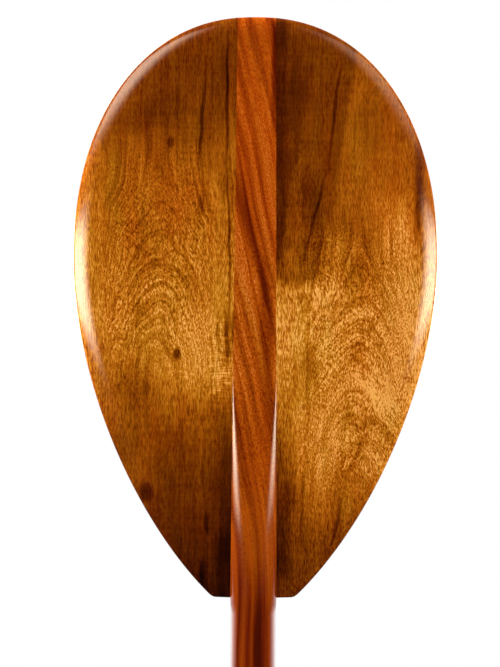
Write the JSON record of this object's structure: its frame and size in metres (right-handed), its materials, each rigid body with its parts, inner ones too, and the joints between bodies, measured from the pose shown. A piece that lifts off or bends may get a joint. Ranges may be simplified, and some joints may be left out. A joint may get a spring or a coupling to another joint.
{
  "type": "wooden canoe paddle",
  "caption": "Single-blade wooden canoe paddle: a wide teardrop blade in two halves glued to a shaft that runs up it as a spine, with a carved T-grip.",
  "frame": {"origin": "on the shaft's axis, in the plane of the blade's two shoulders, where a wall fork carries the paddle", "axes": "+Z along the shaft towards the blade's tip, X across the blade, Y through its thickness; -Y is the face that the picture shows"},
  "size_m": [0.26, 0.0322, 1.2701],
  "materials": {
    "blade_wood": "figured golden-brown hardwood under gloss varnish",
    "shaft_wood": "red-brown ribbon-grained hardwood under gloss varnish",
    "dowel_wood": "plain pale hardwood, unvarnished"
  },
  "bodies": {
    "root": {"shaft": "shaft_wood", "left_wing": "blade_wood", "right_wing": "blade_wood", "grip": "blade_wood", "grip_pin": "shaft_wood", "blade_dowel_1": "dowel_wood", "blade_dowel_2": "dowel_wood", "blade_dowel_3": "dowel_wood", "blade_dowel_4": "dowel_wood", "blade_dowel_5": "dowel_wood"}
  },
  "joints": []
}
